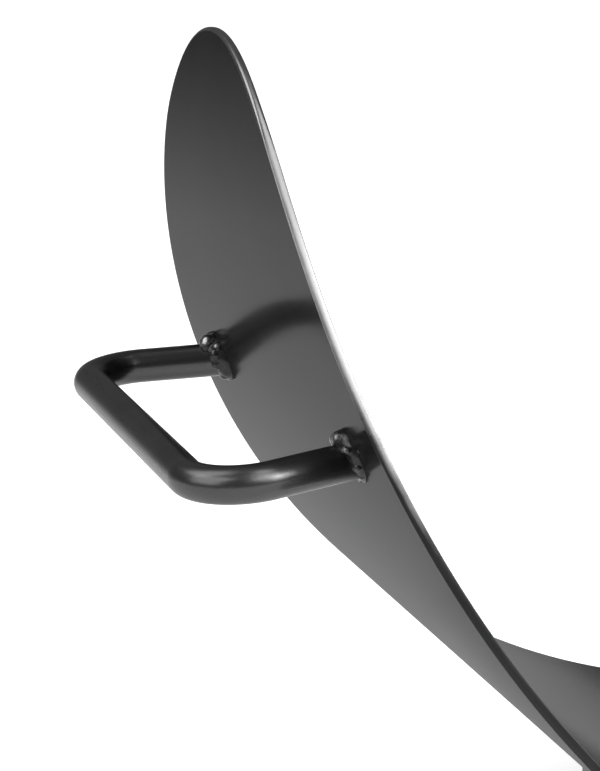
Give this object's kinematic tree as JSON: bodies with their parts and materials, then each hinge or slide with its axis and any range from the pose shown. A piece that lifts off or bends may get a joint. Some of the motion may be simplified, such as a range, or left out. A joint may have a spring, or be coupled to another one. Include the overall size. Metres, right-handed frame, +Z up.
{
  "type": "firewood rack",
  "caption": "Firewood rack: an oval sheet of black steel rolled into a half-round cradle, with bent bar handles welded to its ends and flat bar feet below.",
  "frame": {"origin": "on the floor under the middle of the cradle, centre of the bounding box's bottom", "axes": "+X from the left handle to the right handle, +Y from front to rear along the firewood, +Z up"},
  "size_m": [0.6814, 0.34, 0.3462],
  "materials": {
    "sheet_steel": "satin black lacquer on smooth cold-rolled sheet",
    "bar_steel": "satin black lacquer on round and flat bar",
    "weld_metal": "glossy black lacquer over uneven weld beads"
  },
  "bodies": {
    "root": {"curved_plate": "sheet_steel", "left_handle": "bar_steel", "right_handle": "bar_steel", "left_foot": "bar_steel", "right_foot": "bar_steel", "left_handle_rear_weld": "weld_metal", "left_handle_front_weld": "weld_metal", "left_foot_rear_weld": "weld_metal", "left_foot_front_weld": "weld_metal", "right_handle_rear_weld": "weld_metal", "right_handle_front_weld": "weld_metal", "right_foot_rear_weld": "weld_metal", "right_foot_front_weld": "weld_metal"}
  },
  "joints": []
}
